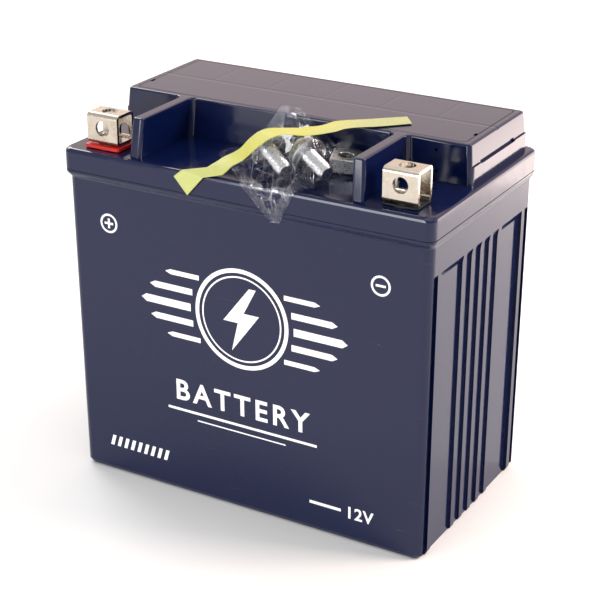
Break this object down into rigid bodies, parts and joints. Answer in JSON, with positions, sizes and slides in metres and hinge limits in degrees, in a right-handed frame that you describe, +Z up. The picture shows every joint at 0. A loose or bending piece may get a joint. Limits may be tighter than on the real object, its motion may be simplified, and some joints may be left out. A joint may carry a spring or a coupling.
{
  "type": "motorcycle battery",
  "caption": "Sealed 12 V motorcycle battery with a ribbed case, stepped lid, two folded nut-box terminals and a bag of terminal bolts taped on top.",
  "frame": {"origin": "middle of the base, on the surface that the battery stands on", "axes": "+X along the length towards the negative terminal, -Y towards the printed front face, +Z up"},
  "size_m": [0.15, 0.087, 0.1488],
  "materials": {
    "case_plastic": "navy moulded polypropylene, semi-gloss",
    "tinned_terminal": "bright tin plate on folded sheet",
    "red_seal": "red terminal seal",
    "black_rubber": "black moulded rubber",
    "lead": "dull grey cast lead",
    "positive_paste": "dark brown lead dioxide paste on a grid",
    "glass_mat": "white absorbent glass mat",
    "zinc_plate": "zinc plated steel",
    "clear_film": "thin clear wrinkled polythene film",
    "paper_tape": "pale yellow-green paper tape"
  },
  "bodies": {
    "case": {"container": "case_plastic", "lid": "case_plastic", "top_cover": "case_plastic", "terminal_block_positive": "tinned_terminal", "terminal_post_positive": "lead", "terminal_block_negative": "tinned_terminal", "terminal_post_negative": "lead", "terminal_seal_positive": "red_seal", "terminal_seal_negative": "black_rubber", "positive_plates_1": "positive_paste", "negative_plates_1": "lead", "separator_1": "glass_mat", "positive_plates_2": "positive_paste", "negative_plates_2": "lead", "separator_2": "glass_mat", "positive_plates_3": "positive_paste", "negative_plates_3": "lead", "separator_3": "glass_mat", "positive_plates_4": "positive_paste", "negative_plates_4": "lead", "separator_4": "glass_mat", "positive_plates_5": "positive_paste", "negative_plates_5": "lead", "separator_5": "glass_mat", "positive_plates_6": "positive_paste", "negative_plates_6": "lead", "separator_6": "glass_mat", "intercell_weld_1": "lead", "intercell_weld_2": "lead", "intercell_weld_3": "lead", "intercell_weld_4": "lead", "intercell_weld_5": "lead"},
    "valve_cap_1_body": {"valve_cap_1": "black_rubber"},
    "valve_cap_2_body": {"valve_cap_2": "black_rubber"},
    "valve_cap_3_body": {"valve_cap_3": "black_rubber"},
    "valve_cap_4_body": {"valve_cap_4": "black_rubber"},
    "valve_cap_5_body": {"valve_cap_5": "black_rubber"},
    "valve_cap_6_body": {"valve_cap_6": "black_rubber"},
    "hardware_pack": {"hardware_bag": "clear_film", "tape": "paper_tape", "terminal_bolt_1": "zinc_plate", "terminal_bolt_2": "zinc_plate", "terminal_nut_1": "zinc_plate", "terminal_nut_2": "zinc_plate"}
  },
  "joints": [
    {"name": "valve_lift_1", "type": "slide", "parent": "case", "child": "valve_cap_1_body", "axis": [0, 0, 1], "range_m": [0, 0.0006], "stiffness_N_per_m": 60, "springref_m": -0.002},
    {"name": "valve_lift_2", "type": "slide", "parent": "case", "child": "valve_cap_2_body", "axis": [0, 0, 1], "range_m": [0, 0.0006], "stiffness_N_per_m": 60, "springref_m": -0.002},
    {"name": "valve_lift_3", "type": "slide", "parent": "case", "child": "valve_cap_3_body", "axis": [0, 0, 1], "range_m": [0, 0.0006], "stiffness_N_per_m": 60, "springref_m": -0.002},
    {"name": "valve_lift_4", "type": "slide", "parent": "case", "child": "valve_cap_4_body", "axis": [0, 0, 1], "range_m": [0, 0.0006], "stiffness_N_per_m": 60, "springref_m": -0.002},
    {"name": "valve_lift_5", "type": "slide", "parent": "case", "child": "valve_cap_5_body", "axis": [0, 0, 1], "range_m": [0, 0.0006], "stiffness_N_per_m": 60, "springref_m": -0.002},
    {"name": "valve_lift_6", "type": "slide", "parent": "case", "child": "valve_cap_6_body", "axis": [0, 0, 1], "range_m": [0, 0.0006], "stiffness_N_per_m": 60, "springref_m": -0.002},
    {"name": "hardware_pack_lift", "type": "slide", "parent": "case", "child": "hardware_pack", "axis": [0, 0, 1], "range_m": [0, 0.05]}
  ]
}
